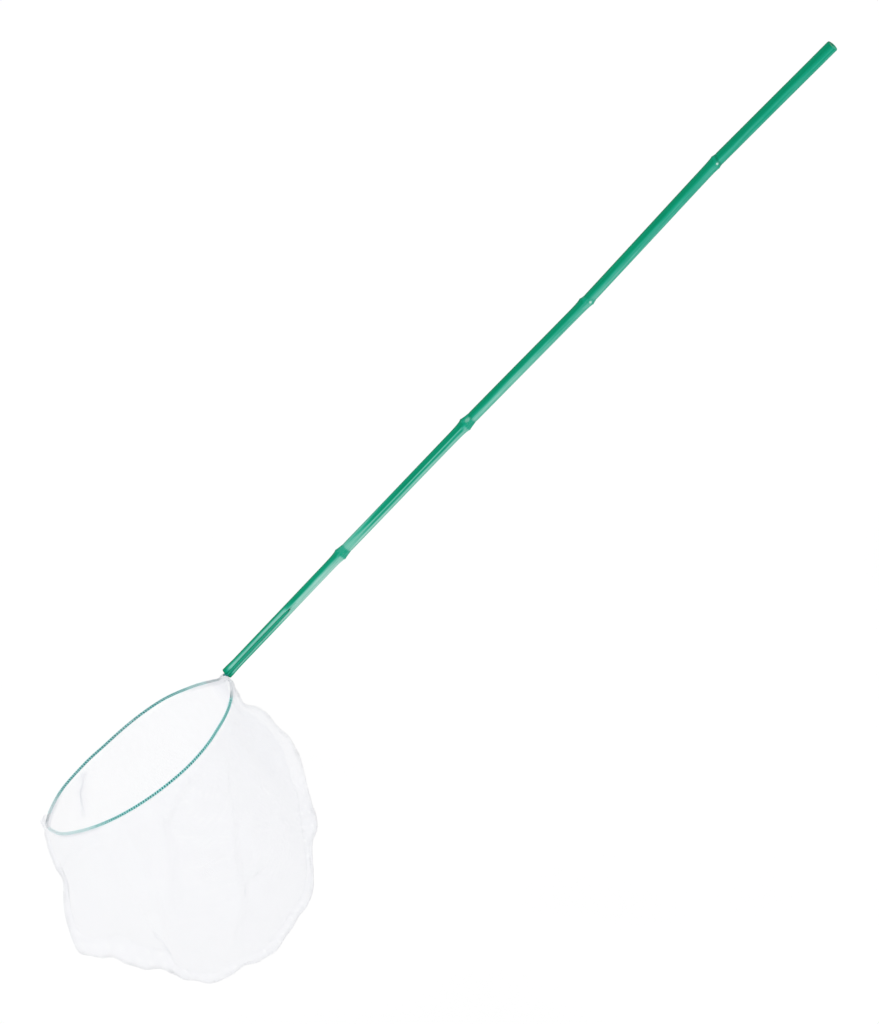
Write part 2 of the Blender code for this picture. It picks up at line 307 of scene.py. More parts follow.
def fade_and_highlight_of(down, turn):
    """How much lighter the stem is: on the side that faces down, where light has faded its colour and a
    painted highlight lies, more towards the hoop, less on a node's band; the flutes hold painted shade, and
    their ridges and the split's lips painted highlights.
    """
    degrees = math.degrees(turn)
    # The side that faces down is lighter as painted highlight, which dies out round the underside and the
    # top.
    side = ease((LIT_SIDE_FROM - degrees) / LIT_SIDE_RUN)
    if degrees <= UNDER_FROM:
        side = 1 - UNDER_LOSS * ease((UNDER_FROM - degrees) / UNDER_RUN)
    if degrees > FAR_FROM:
        side = (1 - UNDER_LOSS) * ease((degrees - FAR_FROM) / FAR_RUN)
    shaded = between(SHADED_SIDE_SHARE, down)
    pale_and_lit = between(CANE_FADE_AND_HIGHLIGHT, down) * (shaded + (1 - shaded) * side)
    fluted = fluting(down)
    # Painted shade in the flutes: there the stem loses its lighter colour.
    for middle in FLUTE_TURNS:
        across = (turn - middle) / FLUTE_HALF * FLUTE_SHADE_NARROWING
        pale_and_lit *= 1 - FLUTE_SHADE * fluted * math.exp(-(across ** 2))
    # Painted highlights along the ridges beside the flutes.
    for middle, wear_and_highlight in RIDGE_HIGHLIGHTS:
        pale_and_lit += wear_and_highlight * fluted * math.exp(-(((degrees - middle) / RIDGE_HALF) ** 2))
    half = slot_opening(down)[0]
    # Painted highlights along the split's two lips.
    for middle, width, wear_and_highlight in SLOT_LIP_HIGHLIGHTS:
        pale_and_lit += wear_and_highlight * math.exp(-(((degrees - middle) / width) ** 2)) * ease(half / SLOT_HALF_WIDTH)
    pale_and_lit *= ease((CANE_LENGTH - DARK_END - down) / DARK_END_RUN)
    band = node_form(down, turn)[1]
    return max(0.0, pale_and_lit) * (1 - band) + BAND_FADE * band


def glint_and_rub_of(down, turn):
    """How strong a painted glint on a node's ridge, or the bare spot where varnish is off the third node, is
    at a place.
    """
    glint_and_rub_strength = 0.0
    for place, middle, length, width, strength in NODE_GLINTS_AND_RUB:
        off = ((down - place) / length) ** 2 + ((math.degrees(turn) - middle) / width) ** 2
        glint_and_rub_strength = max(glint_and_rub_strength, strength * math.exp(-off * off))
    return glint_and_rub_strength


def spoke_turn(index):
    """The turn of a spoke of the section; spokes stand closer together at the split."""
    share = index / CANE_SPOKES
    return 2 * math.pi * share - SPOKE_CROWDING * math.sin(2 * math.pi * share)


def half_turn(turn):
    return turn - 2 * math.pi if turn > math.pi else turn


cane_stations = {CANE_LENGTH}
for node in CANE_NODES:
    for step in NODE_STATIONS:
        cane_stations.add(round(node[0] + step * NODE_STATION_STEP, 5))
for bend, next_bend in zip(CANE_BENDS, CANE_BENDS[1:]):
    for step in range(1, BEND_STATIONS):
        cane_stations.add(round(bend[0] + (next_bend[0] - bend[0]) * step / BEND_STATIONS, 5))
for step in range(SLOT_STATIONS):
    cane_stations.add(round(CANE_LENGTH - SLOT_LENGTH - CRACK_LENGTH + step * SLOT_STATION_STEP, 5))
for angle in EDGE_TURNS:
    cane_stations.add(CANE_EDGE_ROUND * (1 - math.cos(math.radians(angle))))
cane_stations = sorted(down for down in cane_stations if down <= CANE_LENGTH)

stem = bmesh.new()
spoke = stem.verts.layers.int.new("spoke")
grain = stem.verts.layers.float_vector.new("grain")
# This layer holds how much lighter the stem is: faded dye and the painted highlight on the side that faces
# down.
fade_and_highlight = stem.verts.layers.float.new("fade_and_highlight")
band = stem.verts.layers.float.new("band")
# This layer holds painted glints on two nodes and a rubbed spot on a third.
glint_and_rub = stem.verts.layers.float.new("glint_and_rub")
# This layer holds painted shade: on the top and far side and in each node's groove.
painted_shade = stem.verts.layers.float.new("painted_shade")
ring = bmesh.ops.create_circle(stem, segments=CANE_SPOKES, radius=CANE_BUTT_RADIUS)["verts"]
for index, vert in enumerate(ring):
    vert[spoke] = index


def ring_edges(verts):
    """The edges that run round a ring of vertices."""
    members = set(verts)
    return list({edge for vert in verts for edge in vert.link_edges if edge.other_vert(vert) in members})


def grow_ring(shell, verts):
    """Extrudes a ring of edges and returns the new ring's vertices."""
    grown = bmesh.ops.extrude_edge_only(shell, edges=ring_edges(verts))["geom"]
    return [item for item in grown if isinstance(item, bmesh.types.BMVert)]


def place_cane_ring(verts, down, shrink, depth=0.0):
    """Lays a ring of the stem at a distance from the butt, shrunk and sunk where it closes the butt."""
    for vert in verts:
        turn = half_turn(spoke_turn(vert[spoke]))
        front, up = cane_section(down, turn)
        front *= shrink
        up *= shrink
        vert.co = cane_centre(down) + FRONT * front + CANE_UP * up - CANE_AXIS * depth
        vert[grain] = (front, up, down)
        banded, grooved = node_form(down, turn)[1:]
        vert[fade_and_highlight] = fade_and_highlight_of(down, turn)
        vert[band] = banded
        # Painted glints on two nodes and a rubbed spot on a third.
        vert[glint_and_rub] = glint_and_rub_of(down, turn)
        # Painted shade: darker on the top and far side and in the nodes' grooves.
        degrees = math.degrees(turn)
        shaded = ease((degrees - TOP_SHADE_FROM) / TOP_SHADE_FROM_RUN) * ease((TOP_SHADE_TO - degrees) / TOP_SHADE_TO_RUN)
        vert[painted_shade] = max(shaded, grooved)


def smooth_outward(shell):
    """Points all faces of a shell outwards and shades them smooth."""
    shell.normal_update()
    bmesh.ops.recalc_face_normals(shell, faces=shell.faces)
    for face in shell.faces:
        face.smooth = True


pith_share = PITH_RADIUS / CANE_BUTT_RADIUS
butt_rings = [(reach * pith_share, sunk * PITH_DEPTH) for reach, sunk in PITH_RINGS]
butt_rings.append((BUTT_RING, 0.0))
place_cane_ring(ring, 0.0, *butt_rings[0])
bmesh.ops.contextual_create(stem, geom=ring_edges(ring))
for shrink, depth in butt_rings[1:]:
    ring = grow_ring(stem, ring)
    place_cane_ring(ring, 0.0, shrink, depth)
for down in cane_stations:
    ring = grow_ring(stem, ring)
    over = max(0.0, 1 - down / CANE_EDGE_ROUND)
    rounding = CANE_EDGE_ROUND * (1 - math.sqrt(1 - over * over)) / CANE_BUTT_RADIUS
    place_cane_ring(ring, down, 1 - rounding)
bmesh.ops.contextual_create(stem, geom=ring_edges(ring))
smooth_outward(stem)


def finish_piece(shell, name, material, node):
    """Turns a bmesh into a named piece that stands for a CAD node and rides with the net."""
    mesh = bpy.data.meshes.new(name)
    shell.to_mesh(mesh)
    shell.free()
    mesh.materials.append(material)
    piece = bpy.data.objects.new(name, mesh)
    bpy.context.scene.collection.objects.link(piece)
    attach(piece, "root")
    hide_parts(node)
    return piece


def new_material(name):
    material = bpy.data.materials.new(name)
    material.use_nodes = True
    return material, material.node_tree, material.node_tree.nodes["Principled BSDF"]


def add_node(tree, kind, **settings):
    node = tree.nodes.new(kind)
    for key, value in settings.items():
        setattr(node, key, value)
    return node


def stretched(tree, vector, scale):
    """A vector multiplied axis by axis."""
    node = add_node(tree, "ShaderNodeVectorMath", operation="MULTIPLY")
    tree.links.new(vector, node.inputs[0])
    node.inputs[1].default_value = scale
    return node.outputs[0]


def clouds(tree, vector, detail, roughness=0.5):
    node = add_node(tree, "ShaderNodeTexNoise")
    tree.links.new(vector, node.inputs["Vector"])
    node.inputs["Scale"].default_value = 1.0
    node.inputs["Detail"].default_value = detail
    node.inputs["Roughness"].default_value = roughness
    return node.outputs["Fac"]


def ranged(tree, value, low, high, to_low, to_high):
    node = add_node(tree, "ShaderNodeMapRange")
    tree.links.new(value, node.inputs["Value"])
    node.inputs["From Min"].default_value = low
    node.inputs["From Max"].default_value = high
    node.inputs["To Min"].default_value = to_low
    node.inputs["To Max"].default_value = to_high
    return node.outputs["Result"]


def summed(tree, operation, first, second):
    """Math on two values, each a socket or a plain number."""
    node = add_node(tree, "ShaderNodeMath", operation=operation)
    for socket, value in zip(node.inputs, (first, second)):
        if isinstance(value, (int, float)):
            socket.default_value = value
        else:
            tree.links.new(value, socket)
    return node.outputs[0]


def mixed(tree, share, first, second, blend="MIX"):
    """Two colours mixed by a share, each a socket or a plain colour."""
    node = add_node(tree, "ShaderNodeMix", data_type="RGBA", blend_type=blend)
    if isinstance(share, (int, float)):
        node.inputs["Factor"].default_value = share
    else:
        tree.links.new(share, node.inputs["Factor"])
    for name, value in (("A", first), ("B", second)):
        socket = next(item for item in node.inputs if item.name == name and item.type == "RGBA")
        if isinstance(value, tuple):
            socket.default_value = value
        else:
            tree.links.new(value, socket)
    return next(item for item in node.outputs if item.type == "RGBA")


def attribute(tree, name, output):
    node = add_node(tree, "ShaderNodeAttribute", attribute_name=name)
    return node.outputs[output]


def bumped(tree, height, strength, distance):
    node = add_node(tree, "ShaderNodeBump")
    node.inputs["Strength"].default_value = strength
    node.inputs["Distance"].default_value = distance
    tree.links.new(height, node.inputs["Height"])
    return node.outputs["Normal"]


dyed_bamboo, tree, shader = new_material("dyed_bamboo")
along = attribute(tree, "grain", "Vector")
fibres = clouds(tree, stretched(tree, along, FIBRE_SCALE), 3.0, 0.6)
streaks = clouds(tree, stretched(tree, along, STREAK_SCALE), 2.0)
blotches = clouds(tree, stretched(tree, along, BLOTCH_SCALE), 3.0)
specks = clouds(tree, stretched(tree, along, SPECK_SCALE), 2.0)
streak_fade = ranged(tree, streaks, 0.3, 0.7, -0.16, 0.16)
blotch_fade = ranged(tree, blotches, 0.3, 0.7, -0.06, 0.06)
paleness_and_highlight = summed(tree, "ADD", streak_fade, blotch_fade)
unevenness = ranged(tree, attribute(tree, "fade_and_highlight", "Fac"), 0.0, 0.5, 0.25, 1.0)
paleness_and_highlight = summed(tree, "MULTIPLY", paleness_and_highlight, unevenness)
# Add the stem's lighter colour: faded dye and the painted highlight on the side that faces down.
paleness_and_highlight = summed(tree, "ADD", attribute(tree, "fade_and_highlight", "Fac"), paleness_and_highlight)
colour = DYE_AND_HIGHLIGHT_COLOURS[0][1]
for tone, next_tone in zip(DYE_AND_HIGHLIGHT_COLOURS, DYE_AND_HIGHLIGHT_COLOURS[1:]):
    colour = mixed(tree, ranged(tree, paleness_and_highlight, tone[0], next_tone[0], 0.0, 1.0), colour, next_tone[1])
# Painted shade darkens the top and far side and the nodes' grooves.
shade_darkening = ranged(tree, attribute(tree, "painted_shade", "Fac"), 0.0, 1.0, 1.0, 1 - TOP_SHADE)
colour = mixed(tree, 1.0, colour, shade_darkening, "MULTIPLY")
shade = ranged(tree, fibres, 0.25, 0.75, 0.85, 1.13)
colour = mixed(tree, 1.0, colour, shade, "MULTIPLY")
# Bare straw specks where the varnish is worn, mostly on the node bands.
wear_and_highlight = ranged(tree, specks, 0.66, 0.72, 0.0, 1.0)
wear_and_highlight = summed(tree, "MULTIPLY", wear_and_highlight, ranged(tree, attribute(tree, "band", "Fac"), 0.0, 1.0, 0.02, 0.55))
colour = mixed(tree, wear_and_highlight, colour, BARE_STRAW)
# Pale spots: painted glints on the first two nodes' ridges and a rubbed spot on the third.
glint_and_rub_share = attribute(tree, "glint_and_rub", "Fac")
glint_and_rub_share = summed(tree, "MULTIPLY", glint_and_rub_share, ranged(tree, specks, 0.35, 0.6, 0.6, 1.15))
colour = mixed(tree, glint_and_rub_share, colour, GLINT_AND_RUB_GREEN)
tree.links.new(colour, shader.inputs["Base Color"])
gloss = ranged(tree, blotches, 0.3, 0.7, 0.34, 0.46)
gloss = summed(tree, "ADD", gloss, summed(tree, "MULTIPLY", attribute(tree, "band", "Fac"), 0.10))
tree.links.new(gloss, shader.inputs["Roughness"])
shader.inputs["Specular IOR Level"].default_value = 0.04
tree.links.new(bumped(tree, fibres, 0.35, 0.00012), shader.inputs["Normal"])

finish_piece(stem, "cane", dyed_bamboo, "bamboo_cane")


# Hoop: one length of hard wire with a green skin, bent into a round and brought together at the
# cane, where its two tails lie side by side in the split and the bamboo grips them.
WIRE_RADIUS = 0.0010
HOOP_RADIUS = 0.0905
HOOP_SLOPE = math.radians(36.5)
NECK_RISE = 0.0180
NECK_REACH = 0.0090
# Turns from the cane's side in degrees, and radii in hoop radii, on the front and back halves
HOOP_FRONT = (
    (27, 0.998),
    (45, 1.035),
    (62, 1.057),
    (80, 1.035),
    (98, 1.002),
    (117, 0.969),
    (138, 0.960),
    (156, 0.981),
)
HOOP_BACK = (
    (34, 1.035),
    (44, 1.008),
    (56, 1.002),
    (74, 1.018),
    (88, 1.000),
    (101, 0.966),
    (115, 0.940),
    (130, 0.963),
    (152, 1.000),
)
HOOP_TIP = 1.015
# Necks up to the cane: towards the cane, out to the side and up, in hoop radii
NECK_FRONT = ((1.098, 0.088, 0.144), (1.055, 0.199, 0.072), (0.982, 0.309, 0.022))
NECK_BACK = ((0.972, 0.295, 0.102),)
FRONT_TAIL_OUT = 0.0033
BACK_TAIL_OUT = -0.00115
TAIL_LENGTH = 0.074
TAIL_STEPS = 10
WIRE_STEPS = 12
WIRE_SPOKES = 14
WIRE_GREEN = (0.003, 0.210, 0.215, 1.0)
WIRE_DARK = (0.002, 0.165, 0.162, 1.0)
# The tails took up the cane's dye, which starts within this distance inside the split
WIRE_DYED = (0.006, 0.330, 0.200, 1.0)
DYED_RUN = 0.002
COAT_CLOUD_SCALE = (220.0, 220.0, 220.0)
COAT_SPECK_SCALE = (1800.0, 1800.0, 1800.0)

HOOP_AXIS = Vector((math.cos(HOOP_SLOPE), 0.0, math.sin(HOOP_SLOPE)))
HOOP_UP = Vector((-math.sin(HOOP_SLOPE), 0.0, math.cos(HOOP_SLOPE)))
cane_end = cane_centre(CANE_LENGTH)
slot_axis = (cane_centre(CANE_NODES[3][0]) - cane_end).normalized()
hoop_middle = cane_end - HOOP_AXIS * (HOOP_RADIUS + NECK_REACH) - HOOP_UP * NECK_RISE


def from_middle(towards, out, up):
    """A place by the hoop: towards the cane, out to the front and up, in hoop radii."""
    return hoop_middle + (HOOP_AXIS * towards + FRONT * out + HOOP_UP * up) * HOOP_RADIUS


def hoop_point(turn, reach, side):
    angle = math.radians(turn)
    return from_middle(reach * math.cos(angle), side * reach * math.sin(angle), 0.0)


def half_hoop(tail_out, necks, turns, side):
    """The corners of half of the wire, from the cane to just before the far tip."""
    tail = cane_end + FRONT * tail_out
    corners = [tail + slot_axis * (2 * WIRE_RADIUS), tail, tail - slot_axis * (2 * WIRE_RADIUS)]
    corners += [from_middle(towards, side * out, up) for towards, out, up in necks]
    return corners + [hoop_point(turn, reach, side) for turn, reach in turns]


def smooth_path(points, steps):
    """A smooth curve through the points."""
    path = []
    for index in range(len(points) - 1):
        start = points[index]
        end = points[index + 1]
        before = points[index - 1] if index > 0 else start
        after = points[index + 2] if index + 2 < len(points) else end
        leave = start + (end - before) / 6
        arrive = end - (after - start) / 6
        path += interpolate_bezier(start, leave, arrive, end, steps + 1)[:-1]
    path.append(points[-1])
    return path


front_corners = half_hoop(FRONT_TAIL_OUT, NECK_FRONT, HOOP_FRONT, 1.0)
back_corners = half_hoop(BACK_TAIL_OUT, NECK_BACK, HOOP_BACK, -1.0)
hoop_line = smooth_path(front_corners + [hoop_point(180, HOOP_TIP, 1.0)] + back_corners[::-1], WIRE_STEPS)
to_tip = len(front_corners) * WIRE_STEPS
tail_reach = TAIL_LENGTH - 2 * WIRE_RADIUS
front_tail = []
back_tail = []
for step in range(TAIL_STEPS):
    front_tail.append(hoop_line[0] + slot_axis * (tail_reach * (1 - step / TAIL_STEPS)))
    back_tail.append(hoop_line[-1] + slot_axis * (tail_reach * (step + 1) / TAIL_STEPS))
wire_path = front_tail + hoop_line + back_tail


def draw_rod(path, radius, spokes, shell=None):
    """A round rod along a path: a circle of edges, extruded from point to point, with closed ends."""
    shell = shell or bmesh.new()
    number = shell.verts.layers.int.get("spoke") or shell.verts.layers.int.new("spoke")
    reach = shell.verts.layers.float.get("reach") or shell.verts.layers.float.new("reach")
    ring = bmesh.ops.create_circle(shell, segments=spokes, radius=radius)["verts"]
    for index, vert in enumerate(ring):
        vert[number] = index
    side = None
    walked = 0.0
    for index, point in enumerate(path):
        before = path[max(index - 1, 0)]
        after = path[min(index + 1, len(path) - 1)]
        tangent = (after - before).normalized()
        if side is None:
            side = tangent.orthogonal()
        side = (side - tangent * side.dot(tangent)).normalized()
        other = tangent.cross(side)
        if index:
            ring = grow_ring(shell, ring)
            walked += (point - before).length
        for vert in ring:
            turn = 2 * math.pi * vert[number] / spokes
            vert.co = point + side * (radius * math.cos(turn)) + other * (radius * math.sin(turn))
            vert[reach] = walked
        if index in (0, len(path) - 1):
            bmesh.ops.contextual_create(shell, geom=ring_edges(ring))
    return shell


wire = draw_rod(wire_path, WIRE_RADIUS, WIRE_SPOKES)
smooth_outward(wire)
dyed = wire.verts.layers.float.new("dyed")
for vert in wire.verts:
    above = (vert.co - cane_end).dot(slot_axis)
    vert[dyed] = ease(above / DYED_RUN)

coated_wire, tree, shader = new_material("coated_wire")
place = add_node(tree, "ShaderNodeTexCoord").outputs["Object"]
coat_clouds = clouds(tree, stretched(tree, place, COAT_CLOUD_SCALE), 3.0)
coat_specks = clouds(tree, stretched(tree, place, COAT_SPECK_SCALE), 2.0)
colour = mixed(tree, ranged(tree, coat_clouds, 0.3, 0.7, 0.0, 0.6), WIRE_GREEN, WIRE_DARK)
colour = mixed(tree, attribute(tree, "dyed", "Fac"), colour, WIRE_DYED)
colour = mixed(tree, 1.0, colour, ranged(tree, coat_specks, 0.3, 0.7, 0.92, 1.08), "MULTIPLY")
tree.links.new(colour, shader.inputs["Base Color"])
tree.links.new(ranged(tree, coat_clouds, 0.3, 0.7, 0.28, 0.42), shader.inputs["Roughness"])
tree.links.new(bumped(tree, coat_specks, 0.2, 0.0001), shader.inputs["Normal"])
shader.inputs["Specular IOR Level"].default_value = 0.15
finish_piece(wire, "hoop", coated_wire, "hoop_wire")


# Bag panels: two pieces of white nylon net with six-sided holes, cut alike and sewn together round
# a U. Each one's top edge is folded over its half of the wire and sewn down as a narrow hem.
NET_PITCH = 0.00115
NET_SWAY = 0.0003
NET_SWAY_SCALE = 260.0
THREAD_BLUR = 0.12
TWIST_SCALE = (5200.0, 5200.0, 1.0)
SOIL_SCALE = (40.0, 40.0, 1.0)
GATHERED_THREAD = 0.24
HEM_SWELL = 1.0
CLOTH_THICKNESS = 0.00010
HEM_RADIUS = 0.00107
HEM_PINCH = 0.00045
HEM_DEPTH = 0.0026
HEM_FLAP = 0.0006
# Turns in degrees of the hem's round over the wire, and how far past the first of them that stands above
# the wire's middle a row of holes lies
HEM_TURNS = (205, 180, 155, 130, 105, 90, 75, 50, 25, 0, -25)
HEM_HOLES_PAST = 28.0
HEM_SHOULDER_OUT = 1.3
HEM_SHOULDER_DOWN = 0.65
ABOVE_MIDDLE = 1e-9
BARE_FRONT = 0.0015
BARE_BACK = 0.0085
PANEL_OFFSET = 0.00042
BAG_FULLNESS = 1.0
NECK_SAG = 0.5
NECK_DROP = 0.012
# Places along the rim where the net goes slack and where it drops beside the cane, and their runs
SAG_FROM = 0.92
SAG_RUN = 0.30
DROP_FROM = 0.70
DROP_RUN = 0.12
DROP_SHARE = 0.25
SEAM_STEPS = 12
SEAM_CROWDING = 0.9
CROWDING_POWER = 8
PANEL_COLUMNS = 300
BODY_ROWS = 60
FLANGE_ROWS = 6
RUFFLE = 0.0016
RUFFLE_WAVE = 0.0190
# A second, longer ruffle: its share of the first, its waves to one of the first, and its lag
LONG_RUFFLE = 0.6
LONG_RUFFLE_WAVES = 0.43
LONG_RUFFLE_LAG = 1.7
# Columns over which the ruffle dies out at the far tip and at the cane
RUFFLE_TIP_FADE = 6
RUFFLE_CANE_FADE = 10
# Wrinkles, finer ones on top of them as shares of their height and wave, and where each pattern starts
WRINKLE = 0.0009
WRINKLE_WAVE = 0.024
WRINKLE_START = 7.3
FINE_WRINKLE = 0.25
FINE_WRINKLE_WAVE = 0.4
FINE_WRINKLE_START = (3.1, 1.7)
GATHER = 0.0006
GATHER_WAVE = 0.0085
GATHER_REACH = 0.12
# Shares of the way down over which folds fade in below the hem and out above the seam
FREE_BELOW_HEM = 0.10
FREE_ABOVE_SEAM = 0.08
PLEAT_FADE = 0.2
CRUSH_AND_SHADE_SHARPNESS = 4
NET_WHITE = (0.900, 0.907, 0.945, 1.0)
# Place from the far tip to the cane, and share of thread in the net, which is drawn up towards the cane,
# and in the flange outside the seam
NET_THREADS = ((0.0, 0.074), (0.35, 0.075), (0.80, 0.102), (1.0, 0.102))
FLANGE_THREADS = ((0.0, 0.074), (0.35, 0.075), (0.74, 0.098), (0.79, 0.068), (1.0, 0.068))
# The same for the hems, and how far their net is bunched up or stretched
FRONT_HEM = (
    (0.0, 0.25),
    (0.115, 0.215),
    (0.20, 0.195),
    (0.30, 0.165),
    (0.35, 0.06),
    (0.39, 0.03),
    (0.55, 0.03),
    (0.65, 0.012),
    (0.915, 0.012),
    (0.95, 0.27),
    (1.0, 0.30),
)
FRONT_STRETCH = ((0.0, 0.45), (0.33, 0.45), (0.40, 2.0), (0.90, 2.0), (0.95, 0.45), (1.0, 0.45))
BACK_HEM = (
    (0.0, 0.20),
    (0.05, 0.18),
    (0.11, 0.15),
    (0.17, 0.03),
    (0.30, 0.015),
    (0.41, 0.035),
    (0.47, 0.035),
    (0.55, 0.015),
    (0.62, 0.035),
    (0.66, 0.05),
    (0.69, 0.10),
    (0.75, 0.14),
    (1.0, 0.30),
)
BACK_STRETCH = ((0.0, 0.45), (1.0, 0.45))
# Place along the rim past which a panel is gathered under its hem, and how that net fades out
FRONT_GATHER = 0.94
BACK_GATHER = 0.745
GATHER_RUN = 0.05
GATHER_DOWN = 0.10
GATHER_FADE = 0.20
# Pleats: places along the rim and down the panel, half width, how far they swing across and out, and
# how much closer their net is crushed, which darkens the crease partly as bunched net and partly as painted
# shade
FRONT_FOLDS = (
    (((0.893, 0.02), (0.889, 0.30), (0.887, 0.58), (0.893, 0.95)), 0.010, 0.10, 0.0010, 0.01),
    (
        ((0.883, 0.02), (0.852, 0.15), (0.832, 0.30), (0.822, 0.45),
         (0.811, 0.62), (0.801, 0.77), (0.793, 0.97)),
        0.020,
        0.07,
        0.0030,
        0.02,
    ),
    # This pleat only draws the net closer: painted shade along the inside of the seam.
    (
        ((0.905, 0.10), (0.893, 0.58), (0.87, 0.70), (0.843, 0.75),
         (0.81, 0.73), (0.77, 0.77), (0.76, 0.95)),
        0.014,
        0.0,
        0.0,
        0.03,
    ),
    (((0.783, 0.10), (0.687, 0.283), (0.597, 0.50), (0.547, 0.70), (0.47, 0.95)), 0.014, 0.17, 0.0022, 0.01),
    (((0.653, 0.02), (0.60, 0.05), (0.527, 0.117), (0.50, 0.14)), 0.012, 0.16, 0.0020, 0.02),
    (
        ((0.06, 0.80), (0.14, 0.35), (0.25, 0.083), (0.333, 0.05), (0.42, 0.03), (0.49, 0.03)),
        0.010,
        0.20,
        0.0020,
        0.02,
    ),
    (((0.623, 0.70), (0.58, 0.667), (0.547, 0.717)), 0.006, 0.24, 0.0010, 0.01),
    (((0.36, 0.70), (0.345, 0.85), (0.355, 0.97)), 0.008, 0.28, 0.0016, 0.04),
)
BACK_FOLDS = (
    (
        ((0.270, 0.0), (0.262, 0.03), (0.252, 0.08), (0.238, 0.12), (0.232, 0.20), (0.230, 0.32)),
        0.009,
        0.28,
        0.0030,
        0.18,
    ),
    (((0.74, 0.20), (0.66, 0.45), (0.60, 0.75)), 0.016, 0.16, 0.0030, 0.01),
    (((0.45, 0.25), (0.42, 0.55), (0.38, 0.85)), 0.016, 0.16, 0.0030, 0.01),
)
# The sewn line and the cut edge outside it, from the far tip down, along the bottom and up to the
# cane: X and Z of each from the hoop's middle, in millimetres
SEAM_AND_EDGE = (
    (-75.0, -56.6, -75.2, -46.8),
    (-75.0, -57.8, -79.2, -51.0),
    (-74.8, -59.2, -78.6, -57.4),
    (-74.2, -61.4, -75.7, -61.2),
    (-72.4, -68.0, -75.5, -67.5),
    (-65.6, -88.6, -69.9, -88.0),
    (-57.7, -106.0, -61.8, -105.0),
    (-55.6, -128.0, -61.0, -128.0),
    (-50.5, -146.5, -55.5, -153.0),
    (-42.6, -153.0, -47.0, -169.2),
    (-29.9, -155.7, -33.0, -171.5),
    (-15.6, -152.4, -18.8, -172.8),
    (-2.1, -160.0, -2.5, -181.2),
    (12.1, -164.3, 10.0, -182.2),
    (22.4, -166.0, 20.5, -182.3),
    (29.0, -178.5, 28.8, -188.3),
    (44.5, -184.8, 43.9, -192.8),
    (61.5, -184.0, 63.2, -192.0),
    (75.5, -175.0, 79.2, -181.6),
    (95.4, -164.8, 99.4, -172.2),
    (105.7, -154.6, 111.3, -161.0),
    (120.0, -131.4, 126.4, -136.0),
    (129.5, -114.2, 136.6, -117.2),
    (131.9, -95.0, 137.6, -96.5),
    (130.6, -76.0, 136.8, -74.2),
    (128.5, -60.0, 140.8, -56.2),
    (124.7, -30.0, 134.5, -30.3),
    (119.2, -15.0, 128.8, -4.5),
    (113.4, 7.4, 120.2, 16.2),
    (102.5, 25.5, 105.9, 32.8),
    (92.5, 36.0, 97.9, 42.1),
    (81.5, 43.0, 84.4, 47.4),
    (75.6, 53.0, 78.0, 57.6),
    (72.6, 62.0, 73.6, 67.0),
)


def spaced_places(points, count, crowding=0.0):
    """Places along a path, each as a leg and a share of it, at even distances or crowded at its end."""
    lengths = [0.0]
    for start, end in zip(points, points[1:]):
        lengths.append(lengths[-1] + (end - start).length)
    places = []
    leg = 0
    for step in range(count + 1):
        share = step / count
        target = lengths[-1] * (share + crowding * share ** CROWDING_POWER * (1 - share))
        while leg < len(points) - 2 and lengths[leg + 1] < target:
            leg += 1
        places.append((leg, (target - lengths[leg]) / (lengths[leg + 1] - lengths[leg])))
    return places


def at_places(points, places):
    return [points[leg].lerp(points[leg + 1], share) for leg, share in places]


def path_length(points):
    return sum((after - before).length for before, after in zip(points, points[1:]))


def hem_line(from_cane, bare):
    """The wire inside one hem, from the far tip to where the bare wire by the cane starts."""
    walked = 0.0
    index = 0
    while walked < bare:
        walked += (from_cane[index + 1] - from_cane[index]).length
        index += 1
    hemmed = from_cane[:index - 1:-1]
    return at_places(hemmed, spaced_places(hemmed, PANEL_COLUMNS))


def by_middle(across, height):
    return hoop_middle + Vector((across, 0.0, height)) / 1000


sewn_line = smooth_path([by_middle(row[0], row[1]) for row in SEAM_AND_EDGE], SEAM_STEPS)
edge_line = smooth_path([by_middle(row[2], row[3]) for row in SEAM_AND_EDGE], SEAM_STEPS)
seam_places = spaced_places(sewn_line, PANEL_COLUMNS, SEAM_CROWDING)
seam = at_places(sewn_line, seam_places)
cut_edge = at_places(edge_line, seam_places)
seam_step = path_length(seam) / PANEL_COLUMNS
front_rim = hem_line(hoop_line[WIRE_STEPS:to_tip + 1], BARE_FRONT)
back_rim = hem_line(hoop_line[to_tip:-WIRE_STEPS][::-1], BARE_BACK)


def ruffle(column):
    """How far the cut edge waves to the front."""
    way = column * seam_step / RUFFLE_WAVE
    wave = math.sin(2 * math.pi * way)
    wave += LONG_RUFFLE * math.sin(2 * math.pi * way * LONG_RUFFLE_WAVES + LONG_RUFFLE_LAG)
    return RUFFLE * wave * min(1.0, column / RUFFLE_TIP_FADE, (PANEL_COLUMNS - column) / RUFFLE_CANE_FADE)


def rim_frame(rim, index):
    """Out of the hoop and up from it, square to the wire."""
    before = rim[max(index - 1, 0)]
    after = rim[min(index + 1, PANEL_COLUMNS)]
    tangent = (after - before).normalized() if index else FRONT.copy()
    out = rim[index] - hoop_middle
    out = (out - tangent * out.dot(tangent)).normalized()
    up = out.cross(tangent)
    return out, (up if up.dot(HOOP_UP) > 0 else -up)


